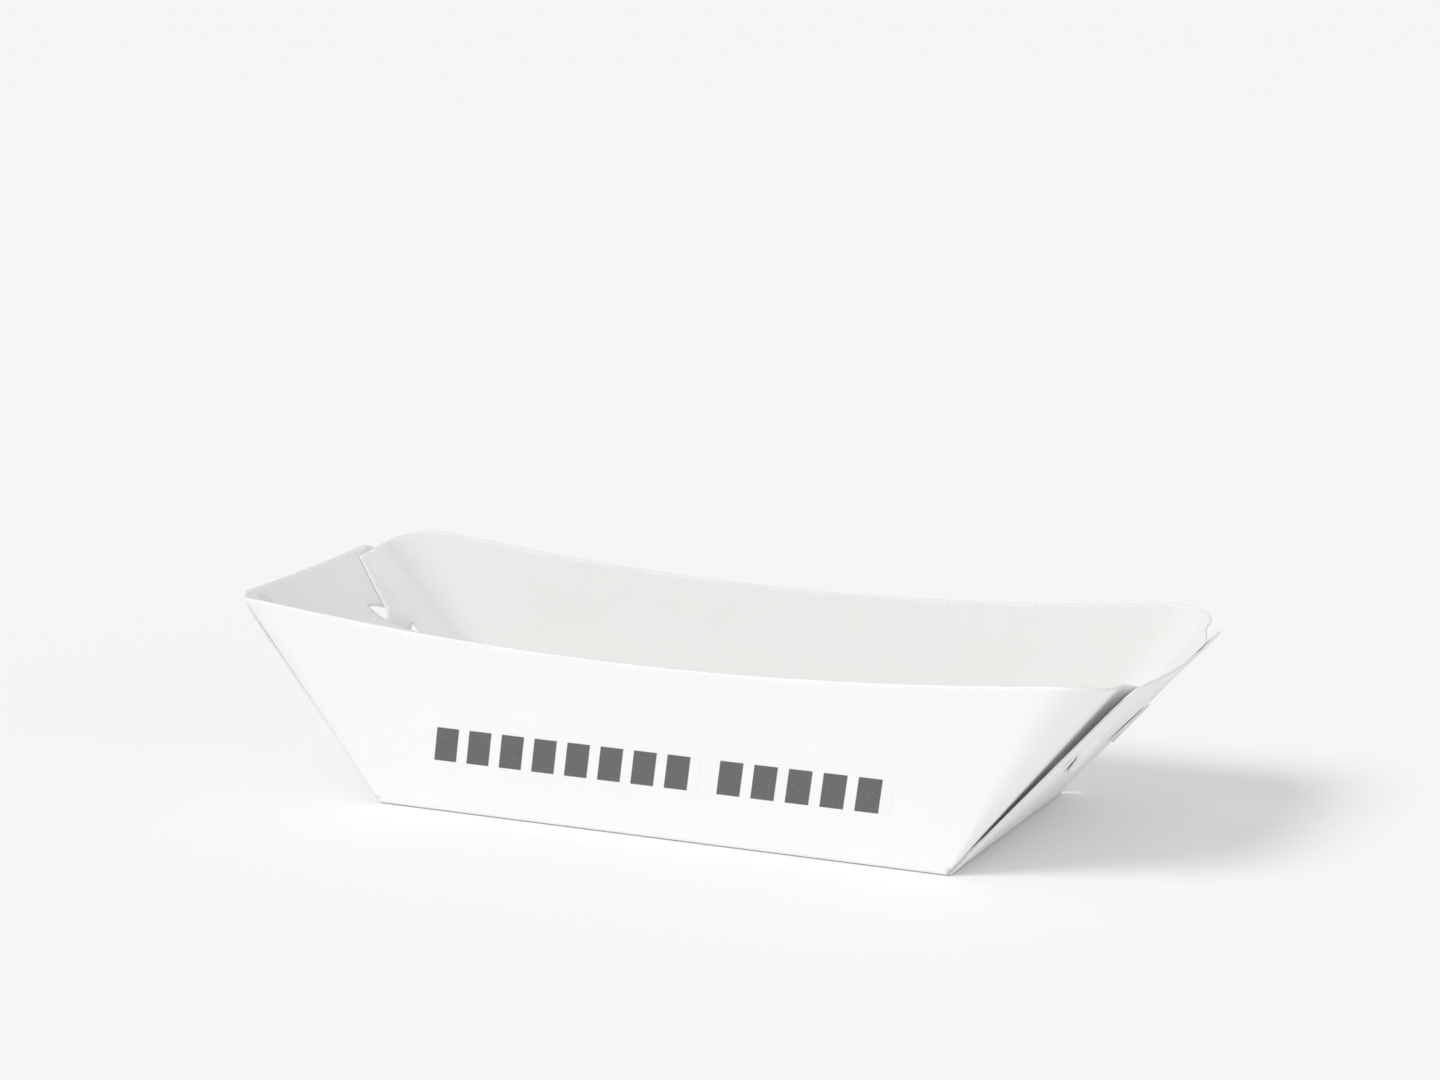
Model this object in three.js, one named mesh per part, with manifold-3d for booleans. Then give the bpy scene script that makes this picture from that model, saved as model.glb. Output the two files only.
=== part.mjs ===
// A takeaway food tray folded from one die-cut sheet of white paperboard.
// Millimetres, +Z up, X along the length. The origin is under the middle of the base.
import * as THREE from 'three';
import { mergeVertices } from 'three/addons/utils/BufferGeometryUtils.js';
import Module from 'manifold-3d';

// Board and base
const boardThickness = 0.45;
const baseLength = 130;
const baseWidth = 70;
const foldRadius = 0.6;

// Long walls
const wallLean = 8;
const wallHeight = 37.6;
const wallRimRise = 2.8;
const cornerBend = 12;

// End panels
const endLean = 41.3;
const endHeight = 55;
const endTopWidth = 61;
const endFoldInset = 0.7;
const endCornerRadius = 5;
const endBow = 1.6;

// Corner locks: an arm of the long wall, and the slit of the end panel that it goes through
const layerGap = 0.2;
const tuckAngle = 2;
const slitAcross = 15.5;
const slitUp = 35.5;
const slitTurn = 38.5;
const slitHalfLength = 9;
const slitHalfOpening = 2.2;
const slitFullness = 3;
const armNeckHalfWidth = 3.6;
const armRootShare = 0.06;
const armShoulder = 8;
const armFootAcross = 10;
const armFootUp = 13;
const armSettleLength = 8.5;
const armCrossingStart = -0.1;
const armCrossingEnd = 1.9;
const armHeadLength = 12;
const armTipRadius = 3.6;
const armTipLift = 0.4;
const armTipCurl = 1.5;
const armHeldBack = 8;

// Steps of the mesh
const lengthSteps = 6;
const widthSteps = 7;
const cornerSteps = 4;
const foldSteps = 4;
const rootSteps = 7;
const belowRootSteps = 1;
const bendSteps = 12;
const endSteps = 8;
const shoulderSteps = 4;
const neckSteps = 6;
const crossingSteps = 4;
const headSteps = 9;
const slitSteps = 20;
const mergeDistance = 1e-4;

const radians = (angle) => angle * Math.PI / 180;
const cosine = (angle) => Math.cos(radians(angle));
const sine = (angle) => Math.sin(radians(angle));
const vector = (x, y, z) => new THREE.Vector3(x, y, z);
const smooth = (share) => {
  const inside = Math.min(Math.max(share, 0), 1);
  return inside * inside * (3 - 2 * inside);
};

// Directions of the front wall, of the right end panel, and of the rolled corner where it is
// tucked behind that panel, a little more upright
const alongX = vector(1, 0, 0);
const alongY = vector(0, 1, 0);
const wallUp = vector(0, -sine(wallLean), cosine(wallLean));
const wallOut = vector(0, -cosine(wallLean), -sine(wallLean));
const endUp = vector(sine(endLean), 0, cosine(endLean));
const endOut = vector(cosine(endLean), 0, -sine(endLean));
const tuckUp = vector(sine(endLean - tuckAngle), 0, cosine(endLean - tuckAngle));
const tuckOut = vector(cosine(endLean - tuckAngle), 0, -sine(endLean - tuckAngle));

// Each fold is an arc that starts this far inside the line where the two planes meet
const baseLevel = boardThickness / 2;
const wallTurn = 90 - wallLean;
const endTurn = 90 - endLean;
const wallSetback = foldRadius * Math.tan(radians(wallTurn / 2));
const endSetback = foldRadius * Math.tan(radians(endTurn / 2));

function foldOffset(turn, share) {
  const angle = turn * share;
  return { out: foldRadius * sine(angle), up: foldRadius * (1 - cosine(angle)) };
}

// The base corner is where the wall's fold ends, one layer behind the end panel
const layerStep = boardThickness + layerGap;
const wallFoldEnd = foldOffset(wallTurn, 1);
const wallFootY = -(baseWidth / 2 - wallSetback + wallFoldEnd.out);
const wallFootZ = baseLevel + wallFoldEnd.up;
const wallFootX = baseLength / 2 - (wallFoldEnd.up * endOut.z + layerStep) / endOut.x;
const cornerPoint = vector(wallFootX, wallFootY, wallFootZ);

function wallPoint(along, up) {
  return vector(along, wallFootY, wallFootZ).addScaledVector(wallUp, up);
}

// At each end the wall rolls round a cone whose tip is the base corner. Seen from that tip,
// the cone is a circle that touches the plane of the wall and the tucked plane.
const seam = wallOut.clone().cross(tuckOut).normalize();
const towardsWall = wallOut.clone().cross(seam).normalize();
const towardsEnd = seam.clone().cross(tuckOut).normalize();
const planesTurn = wallOut.angleTo(tuckOut);
const coneRadius = Math.atan(sine(cornerBend) * Math.tan((Math.PI - planesTurn) / 2));
const bendStart = seam.clone().multiplyScalar(cosine(cornerBend))
  .addScaledVector(towardsWall, sine(cornerBend));
const bendEnd = seam.clone().multiplyScalar(cosine(cornerBend))
  .addScaledVector(towardsEnd, sine(cornerBend));
const coneAxis = bendStart.clone().multiplyScalar(Math.cos(coneRadius))
  .addScaledVector(wallOut, -Math.sin(coneRadius)).normalize();
const coneStart = bendStart.clone().addScaledVector(coneAxis, -Math.cos(coneRadius)).normalize();
const coneFinish = bendEnd.clone().addScaledVector(coneAxis, -Math.cos(coneRadius)).normalize();
const coneTurn = coneStart.angleTo(coneFinish);
const coneSide = coneFinish.clone().addScaledVector(coneStart, -coneFinish.dot(coneStart)).normalize();

function coneDirection(share) {
  const angle = coneTurn * share;
  return coneAxis.clone().multiplyScalar(Math.cos(coneRadius))
    .addScaledVector(coneStart, Math.sin(coneRadius) * Math.cos(angle))
    .addScaledVector(coneSide, Math.sin(coneRadius) * Math.sin(angle));
}

// The rim of the long wall is a shallow hollow curve, lowest at mid-length
const rimCurve = wallRimRise / (baseLength / 2) ** 2;
const rimHeight = (along) => wallHeight + rimCurve * along * along;

// Where the rim meets the line at which the bend starts
const startAlong = bendStart.dot(alongX);
const startUp = bendStart.dot(wallUp);
const curveA = rimCurve * startAlong * startAlong;
const curveB = 2 * rimCurve * wallFootX * startAlong - startUp;
const curveC = rimHeight(wallFootX);
const rimReachStart = (-curveB - Math.sqrt(curveB * curveB - 4 * curveA * curveC)) / (2 * curveA);
const rimTurnX = wallFootX + rimReachStart * startAlong;

// Over the bend the rim swings on smoothly, to end level with the rim of the end panel
const flatBend = coneTurn * Math.sin(coneRadius);
const rimSlope = 2 * rimCurve * rimTurnX;
const reachAngle = Math.atan2(startUp, startAlong) - Math.atan(rimSlope);
const reachRate = rimReachStart / Math.tan(reachAngle);
const rimReachEnd = (endHeight * endUp.z - wallFoldEnd.up) / bendEnd.z;

function rimReach(share) {
  const straight = rimReachStart + reachRate * flatBend * share;
  const left = rimReachEnd - rimReachStart - reachRate * flatBend;
  return straight + left * share * share;
}

// The end panel narrows towards its rim, has round corners and bows outward a little
const endBaseWidth = baseWidth - 2 * endFoldInset;

function endWidth(up) {
  return endBaseWidth + (endTopWidth - endBaseWidth) * up / endHeight;
}

// A point on the panel: how far across from the middle line, how far up, how far outward
function endPoint(across, up, outward = 0) {
  const half = endWidth(up) / 2;
  const bow = endBow * Math.max(0, 1 - (across / half) ** 2) * Math.max(0, up / endHeight);
  return vector(baseLength / 2, across, baseLevel)
    .addScaledVector(endUp, up)
    .addScaledVector(endOut, bow + outward);
}

function endTop(fromEdge) {
  if (fromEdge >= endCornerRadius) {
    return endHeight;
  }
  const rest = endCornerRadius - fromEdge;
  return endHeight - endCornerRadius + Math.sqrt(endCornerRadius ** 2 - rest ** 2);
}

// The lock is drawn flat, measured from the base corner: across towards the middle of the
// panel, and up it. The arm runs square to the slit.
const slitAlong = new THREE.Vector2(cosine(slitTurn), sine(slitTurn));
const armAlong = new THREE.Vector2(sine(slitTurn), -cosine(slitTurn));
const slitMiddle = new THREE.Vector2(slitAcross, slitUp);
const hinge = vector(baseLength / 2, 0, baseLevel);
const cornerUp = cornerPoint.clone().sub(hinge).dot(endUp);

function fromSlit(side, along) {
  return slitMiddle.clone().addScaledVector(slitAlong, side).addScaledVector(armAlong, along);
}

const rootTop = new THREE.Vector2(bendEnd.y, bendEnd.dot(tuckUp)).multiplyScalar(rimReachEnd);
const rootFoot = rootTop.clone().multiplyScalar(armRootShare);
const shoulderTop = rootTop.clone().setX(rootTop.x + armShoulder);
const shoulderFoot = new THREE.Vector2(armFootAcross, armFootUp);
const headStart = armHeadLength - armTipRadius;
const shares = (steps) => Array.from({ length: steps + 1 }, (_, step) => step / steps);

// Half the width of the arm's head, which narrows to a round tip
function headHalfWidth(along) {
  if (along <= headStart) {
    const share = Math.max(0, along) / headStart;
    return armNeckHalfWidth + (armTipRadius - armNeckHalfWidth) * share;
  }
  return Math.sqrt(Math.max(0, armTipRadius ** 2 - (along - headStart) ** 2));
}

// How far along the arm its columns stand, from where it starts through the slit to its tip
const headAlongs = [
  ...shares(crossingSteps).map((share) => (
    armCrossingStart + (armCrossingEnd - armCrossingStart) * share)),
  ...shares(headSteps).slice(1).map((share) => (
    armCrossingEnd + (armHeadLength - armCrossingEnd) * Math.sin(Math.PI / 2 * share))),
];

// One cut edge of the arm, column by column, from the wall to the slit and to the tip
function armEdge(root, shoulder, side) {
  const neck = fromSlit(side * armNeckHalfWidth, armCrossingStart);
  return [
    ...shares(shoulderSteps).slice(0, -1).map((share) => root.clone().lerp(shoulder, share)),
    ...shares(neckSteps).slice(0, -1).map((share) => shoulder.clone().lerp(neck, share)),
    ...headAlongs.map((along) => fromSlit(side * headHalfWidth(along), along)),
  ];
}

// The arm starts in the tucked plane and settles behind the panel before it meets the slit
const rootSide = new THREE.Vector2(rootTop.y, -rootTop.x).normalize();
const alongArm = (point) => point.clone().sub(slitMiddle).dot(armAlong);

function tuckedPoint(point) {
  return cornerPoint.clone().addScaledVector(alongY, point.x).addScaledVector(tuckUp, point.y);
}

const settling = (point) => smooth(point.dot(rootSide) / armSettleLength);

// The head crosses the slit and lies on the outer face, its tip lifted. The rest stays behind.
function lockedPoint(point) {
  const isHead = point.clone().sub(slitMiddle).dot(slitAlong) > -armNeckHalfWidth - mergeDistance;
  const along = isHead ? alongArm(point) : armCrossingStart;
  const crossing = smooth((along - armCrossingStart) / (armCrossingEnd - armCrossingStart));
  const beyond = Math.max(0, along - armCrossingEnd) / (armHeadLength - armCrossingEnd);
  const level = layerStep * (2 * crossing - 1) + armTipLift * beyond ** armTipCurl;
  return endPoint(wallFootY + point.x, cornerUp + point.y, level);
}

// Mid-surface of one quarter of the tray: the front right one
const quarterTriangles = [];

// Each point has its settled place and, on the arm, a place held clear of the slit
function addGrid(rows, clearRows = rows) {
  for (let row = 0; row + 1 < rows.length; row += 1) {
    for (let column = 0; column + 1 < rows[row].length; column += 1) {
      const square = [[row, column], [row, column + 1], [row + 1, column + 1], [row + 1, column]];
      for (const corners of [[0, 1, 2], [0, 2, 3]]) {
        quarterTriangles.push(corners.map((corner) => {
          const [i, j] = square[corner];
          return { settled: rows[i][j], clear: clearRows[i][j] };
        }));
      }
    }
  }
}

// Columns along the front fold, and rows along the end fold that suit the round corner
const foldXs = shares(lengthSteps).map((share) => share * wallFootX);
const cornerRows = shares(cornerSteps).map((share) => endCornerRadius * (1 - cosine(90 * share)));
const middleRows = shares(widthSteps).slice(1)
  .map((share) => endCornerRadius + (endTopWidth / 2 - endCornerRadius) * share);
const fromEdges = [...cornerRows, ...middleRows];
const endShares = fromEdges.map((fromEdge) => 1 - fromEdge / (endTopWidth / 2));
const foldYs = endShares.map((share) => -endBaseWidth / 2 * share);

// Base, with a small notch at its corner
const baseEndX = baseLength / 2 - endSetback;
const baseFrontY = -(baseWidth / 2 - wallSetback);
const basePoint = (x, y) => vector(x, y, baseLevel);
addGrid([baseFrontY, ...foldYs].map((y) => foldXs.map((x) => basePoint(x, y))));
addGrid(foldYs.map((y) => [foldXs.at(-1), baseEndX].map((x) => basePoint(x, y))));

// Front wall: its fold and its flat part
const wallFold = shares(foldSteps).reverse().map((share) => {
  const offset = foldOffset(wallTurn, share);
  return foldXs.map((x) => vector(x, baseFrontY - offset.out, baseLevel + offset.up));
});
addGrid(wallFold);
const wallRims = shares(lengthSteps).map((share) => share * rimTurnX);
const rootShares = shares(rootSteps).map((share) => armRootShare + (1 - armRootShare) * share);
const belowRoot = shares(belowRootSteps).slice(0, -1).map((share) => armRootShare * share);
const upShares = [...belowRoot, ...rootShares];
const wallRows = upShares.slice().reverse().map((share) => foldXs.map((x, column) => {
  const rimX = wallRims[column];
  return wallPoint(x, 0).lerp(wallPoint(rimX, rimHeight(rimX)), share);
}));
addGrid(wallRows);

// Front wall: the rolled corner, a fan of straight lines from the base corner
const bendShares = shares(bendSteps);
addGrid(upShares.slice().reverse().map((part) => bendShares.map((share) => (
  cornerPoint.clone().addScaledVector(coneDirection(share), rimReach(share) * part)))));

// The arm that locks the corner
const armFeet = armEdge(rootFoot, shoulderFoot, -1);
const armTops = armEdge(rootTop, shoulderTop, 1);

const armPoints = shares(rootSteps).reverse().map((part) => armFeet.map((foot, column) => (
  foot.clone().lerp(armTops[column], part))));
addGrid(
  armPoints.map((row) => row.map((point) => (
    tuckedPoint(point).lerp(lockedPoint(point), settling(point))))),
  armPoints.map((row) => row.map((point) => (
    tuckedPoint(point).addScaledVector(tuckOut, -armHeldBack * settling(point))))),
);

// Right end panel
const endFold = foldYs.map((y) => shares(foldSteps).map((share) => {
  const offset = foldOffset(endTurn, share);
  return vector(baseEndX + offset.out, y, baseLevel + offset.up);
}));
addGrid(endFold);
const endRows = endShares.map((share, index) => {
  const topUp = endTop(fromEdges[index]);
  return shares(endSteps).map((part) => {
    const up = endSetback + (topUp - endSetback) * part;
    const across = -endWidth(up) / 2 * share;
    return part === 0 ? endFold[index].at(-1) : endPoint(across, up);
  });
});
addGrid(endRows);

// The four quarters are mirror images that share their vertices
const quarterMirrors = [[1, 1], [1, -1], [-1, 1], [-1, -1]];
const settledPoints = [];
const clearPoints = [];
const triangles = [];
const pointNumbers = new Map();

function pointNumber(corner, mirrorX, mirrorY) {
  const [settled, clear] = [corner.settled, corner.clear].map((point) => (
    vector(point.x * mirrorX, point.y * mirrorY, point.z)));
  const key = settled.toArray().map((value) => Math.round(value / mergeDistance)).join(' ');
  if (!pointNumbers.has(key)) {
    pointNumbers.set(key, settledPoints.length);
    settledPoints.push(settled);
    clearPoints.push(clear);
  }
  return pointNumbers.get(key);
}

for (const [mirrorX, mirrorY] of quarterMirrors) {
  for (const corners of quarterTriangles) {
    const numbers = corners.map((corner) => pointNumber(corner, mirrorX, mirrorY));
    if (new Set(numbers).size === 3) {
      triangles.push(mirrorX === mirrorY ? numbers : numbers.reverse());
    }
  }
}

// The board's two faces lie half its thickness to each side of the mid-surface
function thicken(points, faces) {
  const normals = points.map(() => vector(0, 0, 0));
  for (const face of faces) {
    face.forEach((number, corner) => {
      const next = points[face[(corner + 1) % 3]].clone().sub(points[number]);
      const last = points[face[(corner + 2) % 3]].clone().sub(points[number]);
      const normal = next.clone().cross(last).normalize();
      normals[number].addScaledVector(normal, next.angleTo(last));
    });
  }
  const offset = (sign) => points.map((point, number) => (
    point.clone().addScaledVector(normals[number].clone().normalize(), sign * boardThickness / 2)));
  const positions = [...offset(1), ...offset(-1)];
  const count = points.length;
  const shell = [];
  const edges = new Set();
  for (const [a, b, c] of faces) {
    shell.push([a, b, c], [c + count, b + count, a + count]);
    [[a, b], [b, c], [c, a]].forEach(([from, to]) => edges.add(`${from} ${to}`));
  }
  for (const edge of edges) {
    const [from, to] = edge.split(' ').map(Number);
    if (!edges.has(`${to} ${from}`)) {
      shell.push([to, from, from + count], [to, from + count, to + count]);
    }
  }
  return { positions, shell };
}

function meshGeometry(positions, faces) {
  const geometry = new THREE.BufferGeometry();
  const numbers = positions.flatMap((point) => point.toArray());
  geometry.setAttribute('position', new THREE.Float32BufferAttribute(numbers, 3));
  geometry.setIndex(faces.flat());
  return geometry;
}

// Slits, sprung open into a narrow lens by the arms that pass through them
function slitCutter() {
  const halfOpening = (side) => slitHalfOpening * (1 - Math.abs(side / slitHalfLength) ** slitFullness);
  const sides = shares(slitSteps).map((share) => slitHalfLength * (2 * share - 1));
  const lower = sides.map((side) => fromSlit(side, halfOpening(side)));
  const upper = sides.slice(1, -1).reverse().map((side) => fromSlit(side, -halfOpening(side)));
  const place = (point) => new THREE.Vector2(wallFootY + point.x, cornerUp + point.y);
  const outline = new THREE.Shape([...lower, ...upper].map(place));
  const depth = endBow + 2 * boardThickness;
  const cutter = new THREE.ExtrudeGeometry(outline, { depth, bevelEnabled: false });
  const panelPlane = new THREE.Matrix4().makeBasis(vector(0, 1, 0), endUp, endOut);
  panelPlane.setPosition(hinge.clone().addScaledVector(endOut, -boardThickness));
  return cutter.applyMatrix4(panelPlane);
}

const wasm = await Module();
wasm.setup();

function toSolid(geometry) {
  const plain = geometry.clone();
  plain.deleteAttribute('normal');
  plain.deleteAttribute('uv');
  const merged = mergeVertices(plain, mergeDistance);
  return new wasm.Manifold(new wasm.Mesh({
    numProp: 3,
    vertProperties: new Float32Array(merged.attributes.position.array),
    triVerts: new Uint32Array(merged.index.array),
  }));
}

// The slits are cut while the arms are held clear, and then the arms are put through them
const clearBoard = thicken(clearPoints, triangles);
const settledBoard = thicken(settledPoints, triangles);
const uncutBlank = toSolid(meshGeometry(clearBoard.positions, clearBoard.shell));
const slit = toSolid(slitCutter());
const slits = quarterMirrors.map(([mirrorX, mirrorY]) => slit.scale([mirrorX, mirrorY, 1]));
const blank = slits.reduce((cut, mirroredSlit) => cut.subtract(mirroredSlit), uncutBlank);
const exactKey = (x, y, z) => [x, y, z].map(Math.fround).join(' ');
const settledPlaces = new Map(clearBoard.positions.map((point, number) => (
  [exactKey(...point.toArray()), settledBoard.positions[number]])));
const cutMesh = blank.getMesh();
const trayPoints = [];
for (let first = 0; first < cutMesh.vertProperties.length; first += cutMesh.numProp) {
  const [x, y, z] = cutMesh.vertProperties.subarray(first, first + 3);
  trayPoints.push(settledPlaces.get(exactKey(x, y, z)) ?? vector(x, y, z));
}
const trayGeometry = meshGeometry(trayPoints, []);
trayGeometry.setIndex(Array.from(cutMesh.triVerts));
trayGeometry.computeVertexNormals();

const paperboard = new THREE.MeshStandardMaterial({ color: '#f4f4f2', roughness: 0.8, metalness: 0 });
const foldedTray = new THREE.Mesh(trayGeometry, paperboard);
foldedTray.name = 'folded_tray';

const tray = new THREE.Group();
tray.add(foldedTray);

export default tray;
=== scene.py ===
import math

import bpy
import numpy as np
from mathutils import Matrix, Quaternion, Vector
from mathutils.geometry import delaunay_2d_cdt


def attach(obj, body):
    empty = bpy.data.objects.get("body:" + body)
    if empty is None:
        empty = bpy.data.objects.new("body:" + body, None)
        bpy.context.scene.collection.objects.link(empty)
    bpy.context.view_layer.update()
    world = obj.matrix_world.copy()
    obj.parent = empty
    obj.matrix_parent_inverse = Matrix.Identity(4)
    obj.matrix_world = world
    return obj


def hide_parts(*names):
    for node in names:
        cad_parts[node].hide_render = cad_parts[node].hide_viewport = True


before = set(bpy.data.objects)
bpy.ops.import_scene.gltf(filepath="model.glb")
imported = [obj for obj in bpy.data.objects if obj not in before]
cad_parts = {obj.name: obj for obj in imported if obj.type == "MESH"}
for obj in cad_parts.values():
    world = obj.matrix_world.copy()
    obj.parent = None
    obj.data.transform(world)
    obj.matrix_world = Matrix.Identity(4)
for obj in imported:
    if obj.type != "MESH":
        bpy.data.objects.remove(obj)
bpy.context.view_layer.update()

scene = bpy.context.scene

# Camera
# The tray is seen from the front right, a little above the counter, through a long lens
# that keeps its long edges nearly parallel. The picture is 1440 by 1080.
camera_turn = math.radians(23.5)
camera_rise = math.radians(11.8)
camera_roll = math.radians(0.4)
camera_distance = 0.85
camera_target = Vector((-0.001, 0.0, 0.0565))
towards_camera = Vector((
    math.sin(camera_turn) * math.cos(camera_rise),
    -math.cos(camera_turn) * math.cos(camera_rise),
    math.sin(camera_rise),
))
camera_data = bpy.data.cameras.new("camera")
camera_data.sensor_width = 36
camera_data.lens = 100
camera = bpy.data.objects.new("camera", camera_data)
scene.collection.objects.link(camera)
camera.location = camera_target + camera_distance * towards_camera
camera.rotation_mode = "QUATERNION"
camera.rotation_quaternion = (
    (-towards_camera).to_track_quat("-Z", "Y") @ Quaternion((0, 0, 1), camera_roll)
)
scene.camera = camera

# Sizes of the tray
# It is one sheet of white paperboard, die-cut, scored along four lines and folded up. The
# corners of the long walls roll round and their arms go through slits in the end panels.
MM = 0.001
board = 0.45
base_length = 130
base_width = 70
fold_radius = 0.6
wall_lean = math.radians(8)
wall_height = 37.6
wall_rim_rise = 2.8
corner_bend = math.radians(12)
end_lean = math.radians(41.3)
end_height = 55
end_top_width = 61
end_fold_inset = 0.7
end_corner_radius = 5
end_bow = 1.6
layer_gap = 0.2
tuck_lean = end_lean - math.radians(2)
slit_middle = np.array([15.5, 35.5])
slit_turn = math.radians(38.5)
slit_half_length = 9
slit_half_opening = 2.2
slit_fullness = 3
arm_neck_half_width = 3.6
arm_root_share = 0.06
arm_shoulder = 8
arm_foot = np.array([10, 13])
arm_settle_length = 8.5
arm_crossing_start = -0.1
arm_crossing_end = 1.9
arm_head_length = 12
arm_tip_radius = 3.6
arm_tip_lift = 0.4
arm_tip_curl = 1.5

# Where the folds start and end, and the plane of each side. One corner is worked out, the one
# at the back right, and the other three are its mirror images.
wall_turn = math.pi / 2 - wall_lean
end_turn = math.pi / 2 - end_lean
wall_setback = fold_radius * math.tan(wall_turn / 2)
end_setback = fold_radius * math.tan(end_turn / 2)
wall_fold_y = base_width / 2 - wall_setback
end_fold_x = base_length / 2 - end_setback
wall_fold_run = fold_radius * wall_turn
end_fold_run = fold_radius * end_turn
wall_up = Vector((0, math.sin(wall_lean), math.cos(wall_lean)))
wall_out = Vector((0, math.cos(wall_lean), -math.sin(wall_lean)))
end_up = Vector((math.sin(end_lean), 0, math.cos(end_lean)))
end_out = Vector((math.cos(end_lean), 0, -math.sin(end_lean)))
tuck_up = Vector((math.sin(tuck_lean), 0, math.cos(tuck_lean)))
tuck_out = Vector((math.cos(tuck_lean), 0, -math.sin(tuck_lean)))
layer_step = board + layer_gap
foot_rise = fold_radius * (1 - math.cos(wall_turn))
corner_x = base_length / 2 + (-foot_rise * end_out.z - layer_step) / end_out.x
corner_y = wall_fold_y + fold_radius * math.sin(wall_turn)
corner = Vector((corner_x, corner_y, foot_rise))
corner_up = (corner - Vector((base_length / 2, 0, 0))).dot(end_up)

# The rolled corner is part of a cone with its tip at the base corner. Seen from the tip it is
# a circle that touches the plane of the wall and the one in which the corner is tucked behind
# the end panel, a little more upright.
seam = tuck_out.cross(wall_out).normalized()
to_wall = seam.cross(wall_out).normalized()
to_end = tuck_out.cross(seam).normalized()
cone_radius = math.atan(math.sin(corner_bend) * math.tan((math.pi - wall_out.angle(tuck_out)) / 2))
bend_start = seam * math.cos(corner_bend) + to_wall * math.sin(corner_bend)
bend_end = seam * math.cos(corner_bend) + to_end * math.sin(corner_bend)
cone_axis = (bend_start * math.cos(cone_radius) - wall_out * math.sin(cone_radius)).normalized()
cone_start = (bend_start - cone_axis * math.cos(cone_radius)).normalized()
cone_finish = (bend_end - cone_axis * math.cos(cone_radius)).normalized()
cone_turn = cone_start.angle(cone_finish)
cone_side = (cone_finish - cone_start * cone_finish.dot(cone_start)).normalized()
flat_bend = cone_turn * math.sin(cone_radius)
bend_start_angle = math.atan2(bend_start.dot(wall_up), bend_start.x)

# Outline of the flat blank, in millimetres from the middle of the base
rim_curve = wall_rim_rise / (base_length / 2) ** 2
start_along = math.cos(bend_start_angle)
start_up = math.sin(bend_start_angle)
curve_a = rim_curve * start_along ** 2
curve_b = 2 * rim_curve * corner_x * start_along - start_up
curve_c = wall_height + rim_curve * corner_x ** 2
rim_reach_start = (-curve_b - math.sqrt(curve_b ** 2 - 4 * curve_a * curve_c)) / (2 * curve_a)
rim_turn_x = corner_x + rim_reach_start * start_along
rim_reach_end = (end_height * end_up.z - foot_rise) / bend_end.z
rim_rate = rim_reach_start / math.tan(bend_start_angle - math.atan(2 * rim_curve * rim_turn_x))
flat_corner = np.array([corner_x, wall_fold_y + wall_fold_run])
end_base_width = base_width - 2 * end_fold_inset
slit_along = np.array([math.cos(slit_turn), math.sin(slit_turn)])
arm_along = np.array([math.sin(slit_turn), -math.cos(slit_turn)])
root_angle = math.atan2(-bend_end.y, bend_end.dot(tuck_up))


def end_width(up):
    return end_base_width + (end_top_width - end_base_width) * up / end_height


def rim_reach(share):
    rest = rim_reach_end - rim_reach_start - rim_rate * flat_bend
    return rim_reach_start + rim_rate * flat_bend * share + rest * share ** 2


def around_corner(reach, angle):
    return flat_corner + reach * np.array([math.cos(angle), math.sin(angle)])


def lock_point(side, along):
    """A point of the lock, placed from the slit's middle, in the end panel's plane."""
    return slit_middle + side * slit_along + along * arm_along


def arm_to_blank(point):
    """Unrolls a point of the arm, placed from the base corner, to the flat blank."""
    angle = math.atan2(point[0], point[1])
    return around_corner(np.hypot(*point), bend_start_angle - flat_bend + root_angle - angle)


def panel_to_blank(point):
    """Lays a point of the end panel's plane on the flat blank."""
    up = corner_up + point[1]
    return np.array([end_fold_x + end_fold_run + up - end_setback, corner_y - point[0]])


def stretch(start, finish, step):
    """Points along a straight line, a step apart, without the last one."""
    start, finish = np.array(start), np.array(finish)
    count = max(1, round(float(np.hypot(*(finish - start))) / step))
    return [start + (finish - start) * i / count for i in range(count)]


cut_step = 1.2
arm_cut_step = 0.8
fold_cut_step = 0.15
tip_points = 16
rim_points = 72
bend_points = 22
corner_points = 10
slit_points = 40
root_top = rim_reach_end * np.array([math.sin(root_angle), math.cos(root_angle)])
root_foot = root_top * arm_root_share
shoulder = root_top + [arm_shoulder, 0]
head_start = arm_head_length - arm_tip_radius
near_neck = lock_point(arm_neck_half_width, 0)
far_neck = lock_point(-arm_neck_half_width, 0)
arm_outline = (
    stretch(root_top, shoulder, arm_cut_step)
    + stretch(shoulder, near_neck, arm_cut_step)
    + stretch(near_neck, lock_point(arm_tip_radius, head_start), arm_cut_step)
    + [
        lock_point(arm_tip_radius * math.cos(turn), head_start + arm_tip_radius * math.sin(turn))
        for turn in np.linspace(0, math.pi, tip_points)
    ]
    + stretch(lock_point(-arm_tip_radius, head_start), far_neck, arm_cut_step)[1:]
    + stretch(far_neck, arm_foot, arm_cut_step)
    + stretch(arm_foot, root_foot, arm_cut_step)
)
rim_outline = [
    np.array([x, flat_corner[1] + wall_height + rim_curve * x ** 2])
    for x in np.linspace(0, rim_turn_x, rim_points)[:-1]
]
bend_outline = [
    around_corner(rim_reach(share), bend_start_angle - share * flat_bend)
    for share in np.linspace(0, 1, bend_points)[:-1]
]
side_foot = np.array([corner_x, wall_fold_y])
panel_foot_y = end_base_width / 2
panel_start_x = end_fold_x + end_fold_run
panel_far_x = panel_start_x + end_height - end_setback
panel_shoulder_x = panel_far_x - end_corner_radius
panel_shoulder_y = end_width(end_height - end_corner_radius) / 2
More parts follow.
